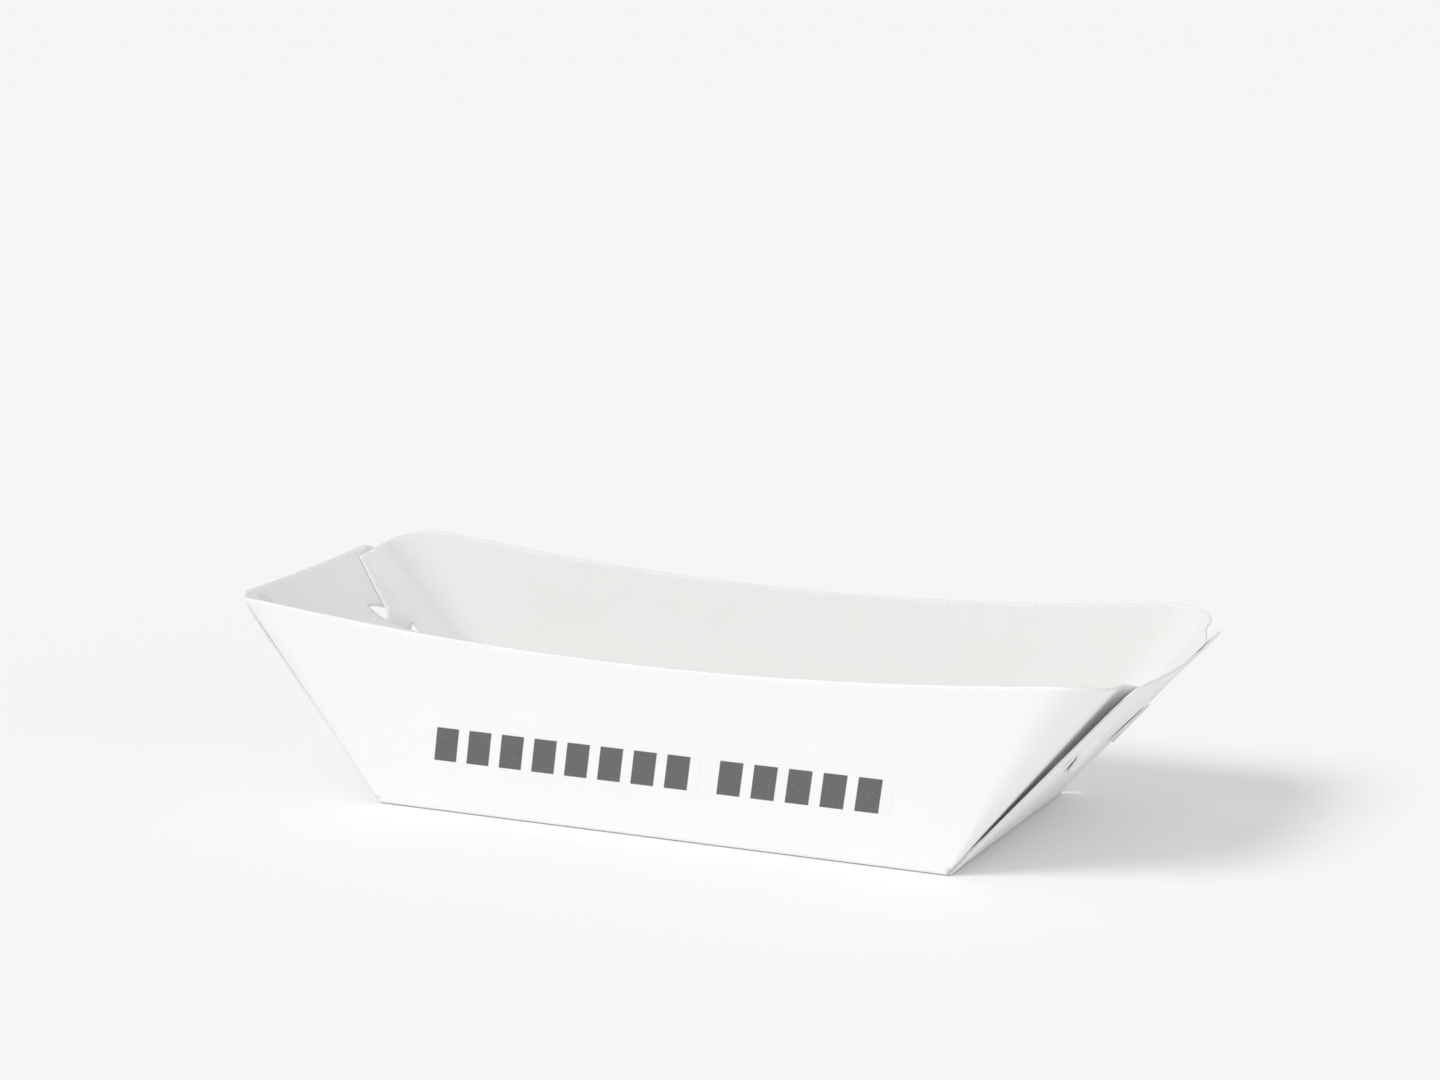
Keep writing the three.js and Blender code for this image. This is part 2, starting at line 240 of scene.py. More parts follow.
end_outline = (
    stretch(flat_corner, side_foot, fold_cut_step)
    + stretch(side_foot, (corner_x, panel_foot_y), fold_cut_step)
    + stretch((corner_x, panel_foot_y), (end_fold_x, panel_foot_y), fold_cut_step)
    + stretch((end_fold_x, panel_foot_y), (panel_start_x, panel_foot_y), fold_cut_step)
    + stretch((panel_start_x, panel_foot_y), (panel_shoulder_x, panel_shoulder_y), cut_step)
    + [
        np.array([
            panel_shoulder_x + end_corner_radius * math.sin(turn),
            end_top_width / 2 - end_corner_radius + end_corner_radius * math.cos(turn),
        ])
        for turn in np.linspace(0, math.pi / 2, corner_points)[1:]
    ]
    + stretch((panel_far_x, end_top_width / 2 - end_corner_radius), (panel_far_x, 0), cut_step)[1:]
)
side_outline = stretch(arm_to_blank(root_foot), flat_corner, arm_cut_step)
quarter = (
    rim_outline + bend_outline + [arm_to_blank(point) for point in arm_outline]
    + side_outline + end_outline
)
quarter = np.array(quarter)
half = np.vstack([quarter, [[panel_far_x, 0.0]], (quarter * [1, -1])[::-1]])
outline = np.vstack([half[:-1], (half * [-1, 1])[::-1][:-1]])

slit_sides = slit_half_length * np.linspace(-1, 1, slit_points)
slit_widths = slit_half_opening * (1 - np.abs(slit_sides / slit_half_length) ** slit_fullness)
slit_edge = list(zip(slit_sides, slit_widths))
slit = np.array(
    [panel_to_blank(lock_point(side, width)) for side, width in slit_edge]
    + [panel_to_blank(lock_point(side, -width)) for side, width in slit_edge[-2:0:-1]]
)
slits = [slit * [x, y] for x in (1, -1) for y in (1, -1)]


def is_inside(points, loop):
    """Which points lie inside a closed outline."""
    inside = np.zeros(len(points), bool)
    for start, finish in zip(loop, np.roll(loop, -1, axis=0)):
        if start[1] == finish[1]:
            continue
        crosses = (start[1] > points[:, 1]) != (finish[1] > points[:, 1])
        slope = (finish[0] - start[0]) / (finish[1] - start[1])
        inside ^= crosses & (points[:, 0] < start[0] + (points[:, 1] - start[1]) * slope)
    return inside


def edge_distance(points, loop):
    """How far each point lies from the nearest corner of a finely stepped outline."""
    nearest = np.full(len(points), np.inf)
    for vertex in loop:
        nearest = np.minimum(nearest, np.hypot(*(points - vertex).T))
    return nearest


# The sheet is filled with an even lattice, closer rows across the folds, and rays where each
# corner rolls tightest
lattice_step = 1.3
outline_clearance = 0.28
slit_clearance = 0.5
fold_end_clearance = 0.6
wall_fold_band = 0.9
end_fold_band = 0.8
ray_clearance = 0.8
wall_fold_columns = 54
end_fold_columns = 28
fold_rows = 7
ray_lines = 13
cut_tolerance = 1e-6
row_step = lattice_step * math.sqrt(3) / 2
row_ys = np.arange(row_step / 2, outline[:, 1].max(), row_step)
lattice = np.array([
    (x + (row % 2) * lattice_step / 2, y)
    for row, y in enumerate(row_ys)
    for x in np.arange(lattice_step / 4, outline[:, 0].max(), lattice_step)
])
fold_steps = np.linspace(0, 1, fold_rows)
wall_fold_points = np.array([
    (x, wall_fold_y + wall_fold_run * share)
    for share in fold_steps
    for x in np.linspace(fold_end_clearance, corner_x - fold_end_clearance, wall_fold_columns)
])
end_fold_points = np.array([
    (end_fold_x + end_fold_run * share, y)
    for share in fold_steps
    for y in np.linspace(fold_end_clearance, panel_foot_y - fold_end_clearance, end_fold_columns)
])
ray_reaches = [0.8, 1.4, 2.1, 3, 4, 5.2, 6.6, 8.2, 10, 12, 14.2, 16.6]
ray_points = np.array([
    around_corner(reach, bend_start_angle - share * flat_bend)
    for reach in ray_reaches
    for share in np.linspace(0, 1, ray_lines)[:-1]
])
near_fold = (
    (np.abs(lattice[:, 1] - wall_fold_y - wall_fold_run / 2) < wall_fold_band)
    | ((np.abs(lattice[:, 0] - end_fold_x - end_fold_run / 2) < end_fold_band)
       & (lattice[:, 1] < panel_foot_y))
)
near_rays = np.hypot(*(lattice - flat_corner).T) < ray_reaches[-1] + ray_clearance
near_rays &= lattice[:, 0] > corner_x
near_rays &= lattice[:, 1] > flat_corner[1]
lattice = lattice[~near_fold & ~near_rays]
fill = np.vstack([lattice, wall_fold_points, end_fold_points, ray_points])
fill = np.vstack([fill * [x, y] for x in (1, -1) for y in (1, -1)])
fill = fill[is_inside(fill, outline)]
for loop, clearance in [(outline, outline_clearance)] + [(loop, slit_clearance) for loop in slits]:
    fill = fill[edge_distance(fill, loop) > clearance]

corners = [Vector(point) for loop in [outline, *slits] for point in loop]
edges = []
for loop in [outline, *slits]:
    first = len(edges)
    edges += [(first + i, first + (i + 1) % len(loop)) for i in range(len(loop))]
points, _, faces, *_ = delaunay_2d_cdt(
    corners + [Vector(point) for point in fill], edges, [], 0, cut_tolerance
)
flat_points = np.array([point[:] for point in points])
middles = np.array([flat_points[list(face)].mean(axis=0) for face in faces])
kept = is_inside(middles, outline)
for loop in slits:
    kept &= ~is_inside(middles, loop)
blank_faces = [face for face, keep in zip(faces, kept) if keep]
blank_mesh = bpy.data.meshes.new("blank")
blank_mesh.from_pydata([(x * MM, y * MM, 0) for x, y in flat_points], [], blank_faces)
blank_uv = blank_mesh.uv_layers.new(name="blank_mm")
for corner_data, loop in zip(blank_uv.data, blank_mesh.loops):
    corner_data.uv = flat_points[loop.vertex_index]
tray = bpy.data.objects.new("folded_paperboard_tray", blank_mesh)
scene.collection.objects.link(tray)

# Folding
# The scored sheet is folded up along its creases and its corners are rolled and locked. A
# node tree does this as the folding machine does, from the flat blank and named sizes.


def add(tree, kind, settings=None, links=None):
    """Adds a node with its settings and links, and returns it."""
    node = tree.nodes.new(kind)
    for name, value in (settings or {}).items():
        setattr(node, name, value)
    for key, source in (links or {}).items():
        if isinstance(source, bpy.types.Node):
            source = source.outputs[0]
        if isinstance(source, bpy.types.NodeSocket):
            tree.links.new(source, node.inputs[key])
        else:
            node.inputs[key].default_value = source
    return node


fold_sizes = {
    "end fold start": end_fold_x * MM,
    "wall fold start": wall_fold_y * MM,
    "fold radius": fold_radius * MM,
    "end turn": end_turn,
    "wall turn": wall_turn,
    "corner x": corner_x * MM,
    "corner y": corner_y * MM,
    "corner up": corner_up * MM,
    "bend start angle": bend_start_angle,
    "flat bend": flat_bend,
    "cone turn": cone_turn,
    "cone radius": cone_radius,
    "end base width": end_base_width * MM,
    "end top width": end_top_width * MM,
    "end height": end_height * MM,
    "end setback": end_setback * MM,
    "end bow": end_bow * MM,
    "layer step": layer_step * MM,
    "slit across": slit_middle[0] * MM,
    "slit up": slit_middle[1] * MM,
    "slit turn": slit_turn,
    "crossing start": arm_crossing_start * MM,
    "crossing end": arm_crossing_end * MM,
    "head side": -(arm_neck_half_width + 0.01) * MM,
    "arm head": arm_head_length * MM,
    "settle length": arm_settle_length * MM,
    "arm lift": arm_tip_lift * MM,
    "tip curl": arm_tip_curl,
    "half board": board / 2 * MM,
    "wave height": 0.22 * MM,
    "wave length": 60 * MM,
}
fold_axes = {
    "cone axis": cone_axis,
    "cone start": cone_start,
    "cone side": cone_side,
    "end up": end_up,
    "end out": end_out,
    "tuck up": tuck_up,
    "across axis": Vector((0, 1, 0)),
    "hinge": Vector((base_length / 2 * MM, 0, 0)),
}
fold_tree = bpy.data.node_groups.new("fold the blank", "GeometryNodeTree")
fold_tree.is_modifier = True
interface = fold_tree.interface
interface.new_socket("Geometry", in_out="INPUT", socket_type="NodeSocketGeometry")
for name in fold_sizes:
    interface.new_socket(name, in_out="INPUT", socket_type="NodeSocketFloat")
for name in fold_axes:
    interface.new_socket(name, in_out="INPUT", socket_type="NodeSocketVector")
interface.new_socket("Board", in_out="INPUT", socket_type="NodeSocketMaterial")
interface.new_socket("Geometry", in_out="OUTPUT", socket_type="NodeSocketGeometry")
tree_in = add(fold_tree, "NodeGroupInput")
value = {name: tree_in.outputs[name] for name in [*fold_sizes, *fold_axes]}
flat = add(fold_tree, "ShaderNodeSeparateXYZ", links={0: add(fold_tree, "GeometryNodeInputPosition")})
value["flat x"] = flat.outputs[0]
value["flat y"] = flat.outputs[1]


def work_out(steps):
    """Works out each named value from the ones before it, one node a line."""
    for name, operation, *terms in steps:
        links = {i: value.get(term, term) for i, term in enumerate(terms)}
        kind = "ShaderNodeMath"
        settings = {"operation": operation}
        if operation in ("DOT_PRODUCT", "SCALE", "VECTOR_ADD"):
            kind = "ShaderNodeVectorMath"
            settings["operation"] = operation.replace("VECTOR_", "")
            if operation == "SCALE":
                links = {"Vector": links[0], "Scale": links[1]}
        node = add(fold_tree, kind, settings, links)
        value[name] = node.outputs["Vector" if operation in ("SCALE", "VECTOR_ADD") else "Value"]


# One corner is folded, and the others are its mirror images
work_out([
    ("x", "ABSOLUTE", "flat x"),
    ("y", "ABSOLUTE", "flat y"),
    ("side x", "SIGN", "flat x"),
    ("side y", "SIGN", "flat y"),
])

# Base and end panel: straight, round the fold, then up the panel, which bows outward
work_out([
    ("past end fold", "SUBTRACT", "x", "end fold start"),
    ("end run", "MAXIMUM", "past end fold", 0.0),
    ("end arc", "DIVIDE", "end run", "fold radius"),
    ("end angle", "MINIMUM", "end arc", "end turn"),
    ("end fold run", "MULTIPLY", "end turn", "fold radius"),
    ("past end arc", "SUBTRACT", "end run", "end fold run"),
    ("up the panel", "MAXIMUM", "past end arc", 0.0),
    ("end sine", "SINE", "end angle"),
    ("end cosine", "COSINE", "end angle"),
    ("end turn sine", "SINE", "end turn"),
    ("end turn cosine", "COSINE", "end turn"),
    ("base x", "MINIMUM", "x", "end fold start"),
    ("arc x", "MULTIPLY_ADD", "end sine", "fold radius", "base x"),
    ("panel x", "MULTIPLY_ADD", "up the panel", "end turn cosine", "arc x"),
    ("one less cosine", "SUBTRACT", 1.0, "end cosine"),
    ("arc z", "MULTIPLY", "one less cosine", "fold radius"),
    ("panel z", "MULTIPLY_ADD", "up the panel", "end turn sine", "arc z"),
    ("width change", "SUBTRACT", "end top width", "end base width"),
    ("up from hinge", "ADD", "up the panel", "end setback"),
    ("up share", "DIVIDE", "up from hinge", "end height"),
    ("on panel", "GREATER_THAN", "up the panel", 0.0),
    ("panel width", "MULTIPLY_ADD", "width change", "up share", "end base width"),
    ("twice y", "MULTIPLY", "y", 2.0),
    ("width share", "DIVIDE", "twice y", "panel width"),
    ("width share squared", "POWER", "width share", 2.0),
    ("bow share", "SUBTRACT", 1.0, "width share squared"),
    ("bow there", "MULTIPLY", "bow share", "up share"),
    ("bow on panel", "MULTIPLY", "bow there", "on panel"),
    ("panel bow", "MULTIPLY", "bow on panel", "end bow"),
    ("bow vector", "SCALE", "end out", "panel bow"),
])
value["flat panel"] = add(
    fold_tree, "ShaderNodeCombineXYZ", links={0: value["panel x"], 1: value["y"], 2: value["panel z"]}
).outputs[0]
work_out([("panel place", "VECTOR_ADD", "flat panel", "bow vector")])

# Long wall: round the fold, then every point by its reach and angle from the base corner.
# The flat wall, the cone and the arm are one rule: as far as the angle is past the cone's
# start the direction turns round the cone, and past its end it goes on straight.
work_out([
    ("past wall fold", "SUBTRACT", "y", "wall fold start"),
    ("wall run", "MAXIMUM", "past wall fold", 0.0),
    ("wall arc", "DIVIDE", "wall run", "fold radius"),
    ("wall angle", "MINIMUM", "wall arc", "wall turn"),
    ("wall fold run", "MULTIPLY", "wall turn", "fold radius"),
    ("past wall arc", "SUBTRACT", "wall run", "wall fold run"),
    ("up the wall", "MAXIMUM", "past wall arc", 0.0),
    ("from corner", "SUBTRACT", "x", "corner x"),
    ("corner angle", "ARCTAN2", "up the wall", "from corner"),
    ("from corner squared", "POWER", "from corner", 2.0),
    ("reach squared", "MULTIPLY_ADD", "up the wall", "up the wall", "from corner squared"),
    ("reach", "SQRT", "reach squared"),
    ("past start", "SUBTRACT", "bend start angle", "corner angle"),
    ("bend raw", "DIVIDE", "past start", "flat bend"),
    ("bend low", "MAXIMUM", "bend raw", 0.0),
    ("bend share", "MINIMUM", "bend low", 1.0),
    ("bent part", "MULTIPLY", "bend share", "flat bend"),
    ("straight part", "SUBTRACT", "past start", "bent part"),
    ("cone angle", "MULTIPLY", "bend share", "cone turn"),
    ("cone sine", "SINE", "cone angle"),
    ("cone cosine", "COSINE", "cone angle"),
    ("radius sine", "SINE", "cone radius"),
    ("radius cosine", "COSINE", "cone radius"),
    ("minus cone sine", "MULTIPLY", "cone sine", -1.0),
    ("start part", "MULTIPLY", "cone cosine", "radius sine"),
    ("side part", "MULTIPLY", "cone sine", "radius sine"),
    ("axis vector", "SCALE", "cone axis", "radius cosine"),
    ("start vector", "SCALE", "cone start", "start part"),
    ("side vector", "SCALE", "cone side", "side part"),
    ("two vectors", "VECTOR_ADD", "axis vector", "start vector"),
    ("direction", "VECTOR_ADD", "two vectors", "side vector"),
    ("tangent start", "SCALE", "cone start", "minus cone sine"),
    ("tangent side", "SCALE", "cone side", "cone cosine"),
    ("tangent", "VECTOR_ADD", "tangent start", "tangent side"),
    ("straight cosine", "COSINE", "straight part"),
    ("straight sine", "SINE", "straight part"),
    ("out", "MULTIPLY", "reach", "straight cosine"),
    ("aside", "MULTIPLY", "reach", "straight sine"),
    ("out vector", "SCALE", "direction", "out"),
    ("aside vector", "SCALE", "tangent", "aside"),
    ("from the corner", "VECTOR_ADD", "out vector", "aside vector"),
])

# The arm leaves the tucked plane and settles behind the end panel. Its head goes through the
# slit and lies on the panel's outer face, its tip lifted a little.
root_tolerance = 0.001 * MM
work_out([
    ("on arm", "GREATER_THAN", "aside", root_tolerance),
    ("bend over", "GREATER_THAN", "bend raw", 1.0),
    ("is arm", "MULTIPLY", "on arm", "bend over"),
    ("arm up", "DOT_PRODUCT", "from the corner", "tuck up"),
    ("slit cosine", "COSINE", "slit turn"),
    ("slit sine", "SINE", "slit turn"),
])
value["from corner y"] = add(
    fold_tree, "ShaderNodeSeparateXYZ", links={0: value["from the corner"]}
).outputs[1]
work_out([
    ("arm y", "ADD", "from corner y", "corner y"),
    ("past slit side", "ADD", "from corner y", "slit across"),
    ("minus past side", "MULTIPLY", "past slit side", -1.0),
    ("past slit up", "SUBTRACT", "arm up", "slit up"),
    ("along side", "MULTIPLY", "minus past side", "slit sine"),
    ("along up", "MULTIPLY", "past slit up", "slit cosine"),
    ("along the arm", "SUBTRACT", "along side", "along up"),
    ("past crossing start", "SUBTRACT", "along the arm", "crossing start"),
    ("crossing length", "SUBTRACT", "crossing end", "crossing start"),
    ("crossing raw", "DIVIDE", "past crossing start", "crossing length"),
    ("crossing low", "MAXIMUM", "crossing raw", 0.0),
    ("crossing", "MINIMUM", "crossing low", 1.0),
    ("crossing squared", "MULTIPLY", "crossing", "crossing"),
    ("crossing slope", "MULTIPLY_ADD", "crossing", -2.0, 3.0),
    ("crossing curve", "MULTIPLY", "crossing squared", "crossing slope"),
    ("side across", "MULTIPLY", "minus past side", "slit cosine"),
    ("side up", "MULTIPLY", "past slit up", "slit sine"),
    ("beside the middle", "ADD", "side across", "side up"),
    ("is head", "GREATER_THAN", "beside the middle", "head side"),
    ("crossing eased", "MULTIPLY", "crossing curve", "is head"),
    ("twice crossing", "MULTIPLY", "crossing eased", 2.0),
    ("layers out", "SUBTRACT", "twice crossing", 1.0),
    ("crossing level", "MULTIPLY", "layers out", "layer step"),
    ("past crossing", "SUBTRACT", "along the arm", "crossing end"),
    ("past crossing low", "MAXIMUM", "past crossing", 0.0),
    ("past crossing head", "MULTIPLY", "past crossing low", "is head"),
    ("head length", "SUBTRACT", "arm head", "crossing end"),
    ("head share", "DIVIDE", "past crossing head", "head length"),
    ("head curl", "POWER", "head share", "tip curl"),
    ("arm level", "MULTIPLY_ADD", "head curl", "arm lift", "crossing level"),
    ("arm up the panel", "ADD", "arm up", "corner up"),
    ("arm up share", "DIVIDE", "arm up the panel", "end height"),
    ("arm panel width", "MULTIPLY_ADD", "width change", "arm up share", "end base width"),
    ("twice arm y", "MULTIPLY", "arm y", 2.0),
    ("arm width share", "DIVIDE", "twice arm y", "arm panel width"),
    ("arm width squared", "POWER", "arm width share", 2.0),
    ("arm bow share", "SUBTRACT", 1.0, "arm width squared"),
    ("arm bow there", "MULTIPLY", "arm bow share", "arm up share"),
    ("arm bow", "MULTIPLY", "arm bow there", "end bow"),
    ("arm out", "ADD", "arm level", "arm bow"),
    ("settle raw", "DIVIDE", "aside", "settle length"),
    ("settle low", "MAXIMUM", "settle raw", 0.0),
    ("settle", "MINIMUM", "settle low", 1.0),
    ("settle squared", "MULTIPLY", "settle", "settle"),
    ("settle slope", "MULTIPLY_ADD", "settle", -2.0, 3.0),
    ("settle eased", "MULTIPLY", "settle squared", "settle slope"),
    ("settled", "MULTIPLY", "settle eased", "is arm"),
    ("arm side vector", "SCALE", "across axis", "arm y"),
    ("arm up vector", "SCALE", "end up", "arm up the panel"),
    ("arm out vector", "SCALE", "end out", "arm out"),
    ("arm in panel", "VECTOR_ADD", "arm side vector", "arm up vector"),
    ("arm from hinge", "VECTOR_ADD", "arm in panel", "arm out vector"),
    ("arm locked", "VECTOR_ADD", "arm from hinge", "hinge"),
])
# The stretch that is still on the fold's arc lies short of the wall's foot
work_out([
    ("wall sine", "SINE", "wall angle"),
    ("wall cosine", "COSINE", "wall angle"),
    ("arc y", "MULTIPLY_ADD", "wall sine", "fold radius", "wall fold start"),
    ("wall one less", "SUBTRACT", 1.0, "wall cosine"),
    ("wall arc z", "MULTIPLY", "wall one less", "fold radius"),
])
value["foot"] = add(
    fold_tree, "ShaderNodeCombineXYZ",
    links={0: value["corner x"], 1: value["arc y"], 2: value["wall arc z"]},
).outputs[0]
work_out([
    ("wall tucked", "VECTOR_ADD", "from the corner", "foot"),
    ("is wall", "GREATER_THAN", "past wall fold", 0.0),
])
value["wall place"] = add(
    fold_tree, "ShaderNodeMix", {"data_type": "VECTOR"},
    {"Factor": value["settled"], "A": value["wall tucked"], "B": value["arm locked"]},
).outputs["Result"]
folded = add(
    fold_tree, "GeometryNodeSwitch", {"input_type": "VECTOR"},
    {"Switch": value["is wall"], "False": value["panel place"], "True": value["wall place"]},
)
sides = add(fold_tree, "ShaderNodeCombineXYZ", links={0: value["side x"], 1: value["side y"], 2: 1.0})
mirrored = add(fold_tree, "ShaderNodeVectorMath", {"operation": "MULTIPLY"}, {0: folded, 1: sides})
raised = add(fold_tree, "ShaderNodeCombineXYZ", links={2: value["half board"]})
placed = add(fold_tree, "ShaderNodeVectorMath", {"operation": "ADD"}, {0: mirrored, 1: raised})
fold_up = add(
    fold_tree, "GeometryNodeSetPosition",
    links={"Geometry": tree_in.outputs["Geometry"], "Position": placed},
)

# Board is never quite flat once folded: slow waves, a fifth of a millimetre to each side,
# which fade out where it stands on the counter. The noise stays within a quarter of its middle.
wave_foot = 1 * MM
wave_full = 12 * MM
noise_spread = 4.0
height = add(
    fold_tree, "ShaderNodeSeparateXYZ", links={0: add(fold_tree, "GeometryNodeInputPosition")}
)
clear_of_floor = add(
    fold_tree, "ShaderNodeMapRange", {"interpolation_type": "SMOOTHSTEP"},
    {"Value": height.outputs[2], "From Min": wave_foot, "From Max": wave_full},
)
wave_scale = add(fold_tree, "ShaderNodeMath", {"operation": "DIVIDE"}, {0: 1.0, 1: value["wave length"]})
waves = add(
    fold_tree, "ShaderNodeTexNoise", {"noise_dimensions": "4D"},
    {"Scale": wave_scale, "W": 3.7, "Detail": 1.0, "Roughness": 0.4},
)
centred = add(fold_tree, "ShaderNodeMath", {"operation": "SUBTRACT"}, {0: waves, 1: 0.5})
swing = add(fold_tree, "ShaderNodeMath", {"operation": "MULTIPLY"}, {0: centred, 1: value["wave height"]})
full_swing = add(fold_tree, "ShaderNodeMath", {"operation": "MULTIPLY"}, {0: swing, 1: noise_spread})
faded = add(fold_tree, "ShaderNodeMath", {"operation": "MULTIPLY"}, {0: full_swing, 1: clear_of_floor})
along_normal = add(
    fold_tree, "ShaderNodeVectorMath", {"operation": "SCALE"},
    {"Vector": add(fold_tree, "GeometryNodeInputNormal"), "Scale": faded},
)
waved = add(
    fold_tree, "GeometryNodeSetPosition", links={"Geometry": fold_up, "Offset": along_normal}
)
smoothed = add(fold_tree, "GeometryNodeSetShadeSmooth", links={"Geometry": waved})
realised = add(fold_tree, "GeometryNodeRealizeInstances", links={"Geometry": smoothed})
finished = add(
    fold_tree, "GeometryNodeSetMaterial",
    links={"Geometry": realised, "Material": tree_in.outputs["Board"]},
)
add(fold_tree, "NodeGroupOutput", links={"Geometry": finished})


def hex_colour(code):
    """Turns an sRGB hex colour to linear RGBA."""
    shares = [int(code[i:i + 2], 16) / 255 for i in (1, 3, 5)]
    return (*[s / 12.92 if s <= 0.04045 else ((s + 0.055) / 1.055) ** 2.4 for s in shares], 1)


# White paperboard
# Bleached fibre board with a thin matt clay coating, rolled smooth. It gives a soft, even
# white with faint clouds from the fibres and a fine tooth in raking light. The inner side is
# greyer: its thinner coat lets a little of the fibres' grey through, and part of the grey is
# painted shade for the shaded inside of the tray.
outer_white = hex_colour("#f4f4f4")
outer_cloud = hex_colour("#f1f1f1")
# The inner face's two greys are darker partly as painted shade for the inside of the tray
inner_white_and_shade = hex_colour("#ececeb")
inner_cloud_and_shade = hex_colour("#e8e8e6")
cloud_size = 7 * MM
tooth_size = 0.35 * MM
ripple_size = 2.4 * MM


def make_board(name, white, cloud):
    """A coated face of the board, and the socket that its colour comes from."""
    material = bpy.data.materials.new(name)
    material.use_nodes = True
    tree = material.node_tree
    shader = tree.nodes["Principled BSDF"]
    shader.inputs["Roughness"].default_value = 0.62
    shader.inputs["IOR"].default_value = 1.5
    shader.inputs["Specular IOR Level"].default_value = 0.35
    place = add(tree, "ShaderNodeTexCoord").outputs["Object"]
    clouds = add(
        tree, "ShaderNodeTexNoise", links={"Vector": place, "Scale": 1 / cloud_size, "Detail": 4.0}
    )
    tint = add(
        tree, "ShaderNodeMix", {"data_type": "RGBA"},
        {"Factor": clouds, "A": white, "B": cloud},
    ).outputs["Result"]
    tooth = add(
        tree, "ShaderNodeTexNoise", links={"Vector": place, "Scale": 1 / tooth_size, "Detail": 3.0}
    )
    ripple = add(
        tree, "ShaderNodeTexNoise", links={"Vector": place, "Scale": 1 / ripple_size, "Detail": 2.0}
    )
    fine = add(
        tree, "ShaderNodeBump", links={"Height": tooth, "Strength": 0.25, "Distance": 0.02 * MM}
    )
    soft = add(
        tree, "ShaderNodeBump",
        links={"Height": ripple, "Strength": 0.35, "Distance": 0.05 * MM, "Normal": fine},
    )
    tree.links.new(tint, shader.inputs["Base Color"])
    tree.links.new(soft.outputs[0], shader.inputs["Normal"])
    return material, tint


inside_face, _ = make_board("coated paperboard inside", inner_white_and_shade, inner_cloud_and_shade)

# Printed face
# The outer face is the same board. The front wall has a plain band of slanted blocks in one
# grey ink, printed flat before the sheet is cut, so it follows the blank's own millimetres.
# Each group of blocks is given by where it starts and how many blocks it has.
ink_grey = hex_colour("#646464")
band_foot = 11.0
band_height = 7.6
block_width = 5.2
block_pitch = 7.6
block_slant = 0.18
block_groups = [(-50.5, 8), (14.5, 5)]
ink_edge = 0.08
speckle_size = 0.5 * MM
printed_face, board_tint = make_board(
    "coated paperboard printed face", outer_white, outer_cloud
)
tree = printed_face.node_tree
flat_place = add(tree, "ShaderNodeUVMap", {"uv_map": "blank_mm"})
flat_place = add(tree, "ShaderNodeSeparateXYZ", links={0: flat_place})
up_wall = add(
    tree, "ShaderNodeMath", {"operation": "MULTIPLY_ADD"},
    {0: flat_place.outputs[1], 1: -1.0, 2: -(flat_corner[1] + band_foot)},
)
lean = add(
    tree, "ShaderNodeMath", {"operation": "MULTIPLY_ADD"},
    {0: up_wall, 1: -block_slant, 2: flat_place.outputs[0]},
)
inked = None
for first_x, blocks in block_groups:
    from_first = add(tree, "ShaderNodeMath", {"operation": "SUBTRACT"}, {0: lean, 1: first_x})
    in_pitch = add(
        tree, "ShaderNodeMath", {"operation": "FLOORED_MODULO"}, {0: from_first, 1: block_pitch}
    )
    marks = None
    for reading, middle, half_size in (
        (in_pitch, block_width / 2, block_width / 2),
        (from_first, blocks * block_pitch / 2, blocks * block_pitch / 2),
        (up_wall, band_height / 2, band_height / 2),
    ):
        off_middle = add(tree, "ShaderNodeMath", {"operation": "SUBTRACT"}, {0: reading, 1: middle})
        distance = add(tree, "ShaderNodeMath", {"operation": "ABSOLUTE"}, {0: off_middle})
        within = add(
            tree, "ShaderNodeMapRange", None,
            {"Value": distance, "From Min": half_size + ink_edge, "From Max": half_size - ink_edge},
        )
        marks = within if marks is None else add(
            tree, "ShaderNodeMath", {"operation": "MULTIPLY"}, {0: marks, 1: within}
        )
    inked = marks if inked is None else add(
        tree, "ShaderNodeMath", {"operation": "ADD"}, {0: inked, 1: marks}
    )

# The ink covers the board but for faint specks
speckle = add(
    tree, "ShaderNodeTexNoise",
    links={"Vector": add(tree, "ShaderNodeTexCoord").outputs["Object"], "Scale": 1 / speckle_size},
)
coverage = add(
    tree, "ShaderNodeMapRange", None,
    {"Value": speckle, "From Min": 0.2, "From Max": 0.45, "To Min": 0.93},
)
ink_share = add(tree, "ShaderNodeMath", {"operation": "MULTIPLY"}, {0: inked, 1: coverage})
printed = add(
    tree, "ShaderNodeMix", {"data_type": "RGBA"}, {"Factor": ink_share, "A": board_tint, "B": ink_grey}
)
tree.links.new(printed.outputs["Result"], tree.nodes["Principled BSDF"].inputs["Base Color"])

# Cut edge
# Where the knife has cut, the bare fibre core shows between the two coatings: a little
# greyer and rougher, with streaks along the sheet.
fibre_size = 0.6 * MM
cut_edge = bpy.data.materials.new("cut paperboard core")
cut_edge.use_nodes = True
tree = cut_edge.node_tree
shader = tree.nodes["Principled BSDF"]
shader.inputs["Roughness"].default_value = 0.9
shader.inputs["Specular IOR Level"].default_value = 0.2
fibres = add(
    tree, "ShaderNodeTexNoise",
    links={"Vector": add(tree, "ShaderNodeTexCoord").outputs["Object"], "Scale": 1 / fibre_size},
)
core = add(
    tree, "ShaderNodeMix", {"data_type": "RGBA"},
    {"Factor": fibres, "A": hex_colour("#f0f0ee"), "B": hex_colour("#e6e6e3")},
)
tree.links.new(core.outputs["Result"], shader.inputs["Base Color"])

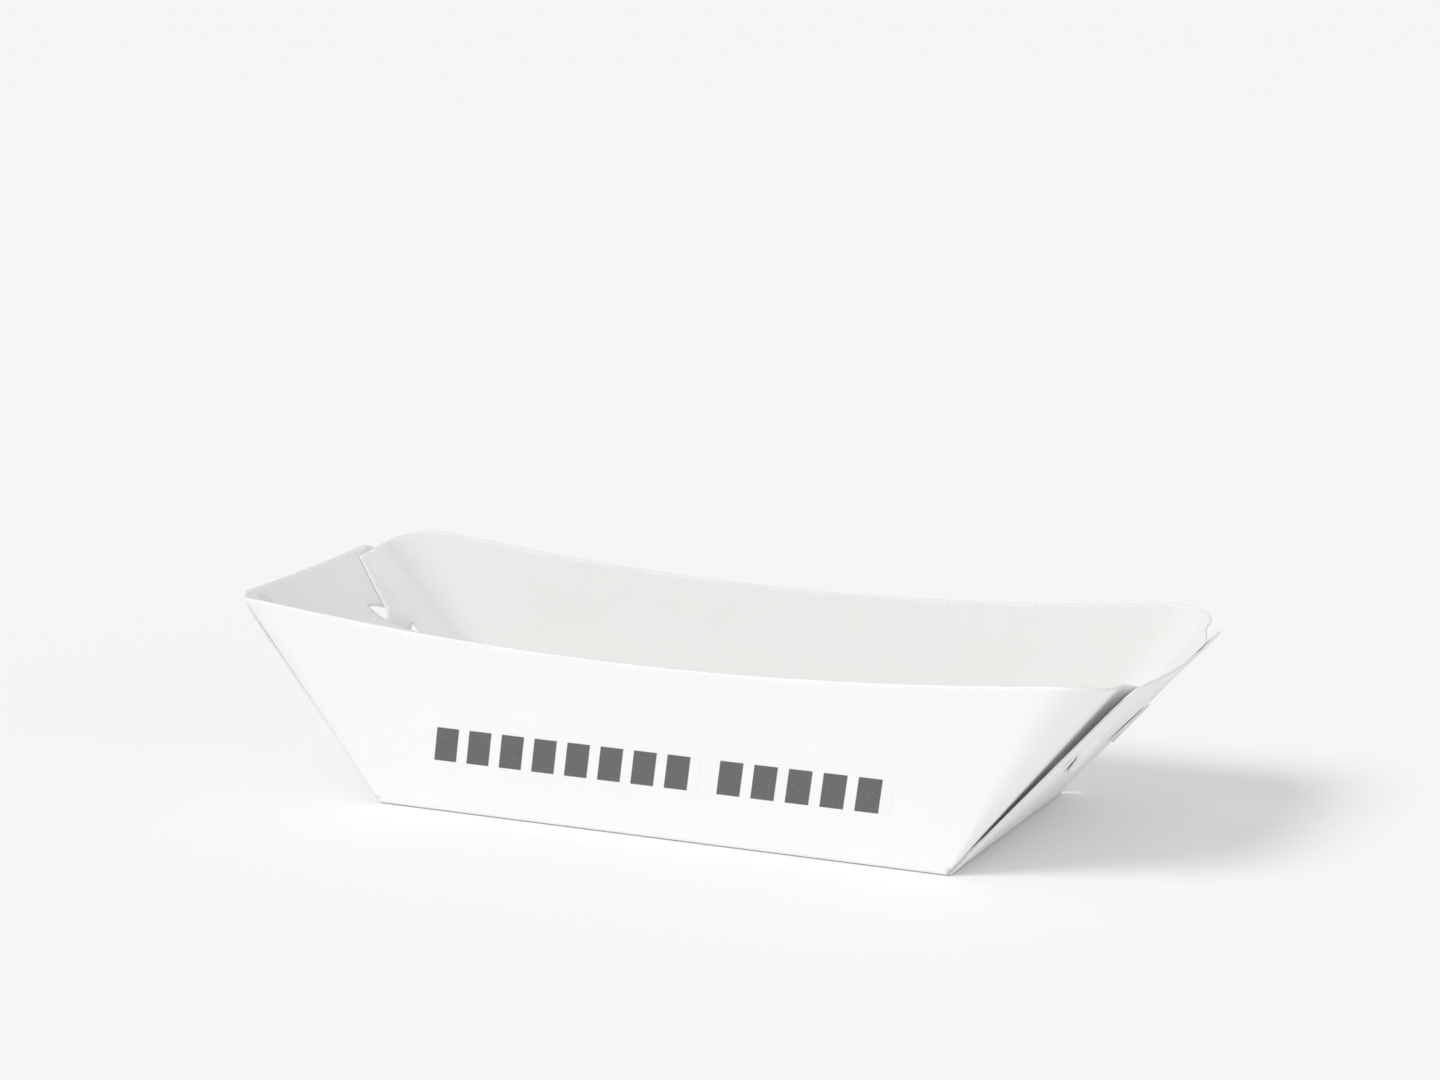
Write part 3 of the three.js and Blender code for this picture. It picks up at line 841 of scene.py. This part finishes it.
# Finished tray
# The folded sheet is given half the board's thickness to each side, with the plain coat inside,
# the printed face outside and the cut core round its edges. It stands for the one solid piece.
for material in (inside_face, printed_face, cut_edge):
    blank_mesh.materials.append(material)
fold = tray.modifiers.new("fold", "NODES")
fold.node_group = fold_tree
inputs = [item for item in interface.items_tree if item.in_out == "INPUT"]
socket_names = {item.name: item.identifier for item in inputs}
for name, size in fold_sizes.items():
    fold[socket_names[name]] = size
for name, direction in fold_axes.items():
    fold[socket_names[name]] = direction[:]
fold[socket_names["Board"]] = inside_face
thickness = tray.modifiers.new("board", "SOLIDIFY")
thickness.thickness = board * MM
thickness.offset = 0
thickness.use_even_offset = True
thickness.material_offset = 1
thickness.material_offset_rim = 2
folded_tray = tray.evaluated_get(bpy.context.evaluated_depsgraph_get())
folded_mesh = bpy.data.meshes.new_from_object(folded_tray)
tray.modifiers.clear()
tray.data = folded_mesh
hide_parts("folded_tray")
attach(tray, "root")

# Counter
# A plain white studio sweep of matt laminate, which takes the tray's soft shadow. It lies a
# hair below the base, so that the two never share a plane.
counter_mesh = bpy.data.meshes.new("counter")
counter_reach = 14
counter_drop = 0.1 * MM
counter_mesh.from_pydata(
    [(x * counter_reach, y * counter_reach, 0) for x, y in ((-1, -1), (1, -1), (1, 1), (-1, 1))],
    [], [(0, 1, 2, 3)],
)
counter = bpy.data.objects.new("counter", counter_mesh)
scene.collection.objects.link(counter)
counter.location.z = -counter_drop
counter_white = bpy.data.materials.new("matt white sweep")
counter_white.use_nodes = True
shader = counter_white.node_tree.nodes["Principled BSDF"]
shader.inputs["Base Color"].default_value = hex_colour("#f4f4f4")
shader.inputs["Roughness"].default_value = 0.9
shader.inputs["Specular IOR Level"].default_value = 0.1
counter_mesh.materials.append(counter_white)

# Light
# A soft key from the upper left and front, a wide low fill from the right, and even light all
# round. Each lamp has the place it shines from, its spread in degrees and its strength.
world = bpy.data.worlds.new("studio")
scene.world = world
world.use_nodes = True
world.node_tree.nodes["Background"].inputs["Color"].default_value = (1, 1, 1, 1)
world.node_tree.nodes["Background"].inputs["Strength"].default_value = 0.69
lamps = {
    "key": ((-0.211, -0.342, 0.423), 25, 1.36),
    "side fill": ((1.0, -0.35, 0.06), 60, 0.4),
}
for name, (place, spread, strength) in lamps.items():
    lamp_data = bpy.data.lights.new(name, "SUN")
    lamp_data.angle = math.radians(spread)
    lamp_data.energy = strength
    lamp = bpy.data.objects.new(name, lamp_data)
    scene.collection.objects.link(lamp)
    lamp.location = place
    lamp.rotation_mode = "QUATERNION"
    lamp.rotation_quaternion = (-Vector(place)).to_track_quat("-Z", "Y")

scene.view_settings.view_transform = "Standard"
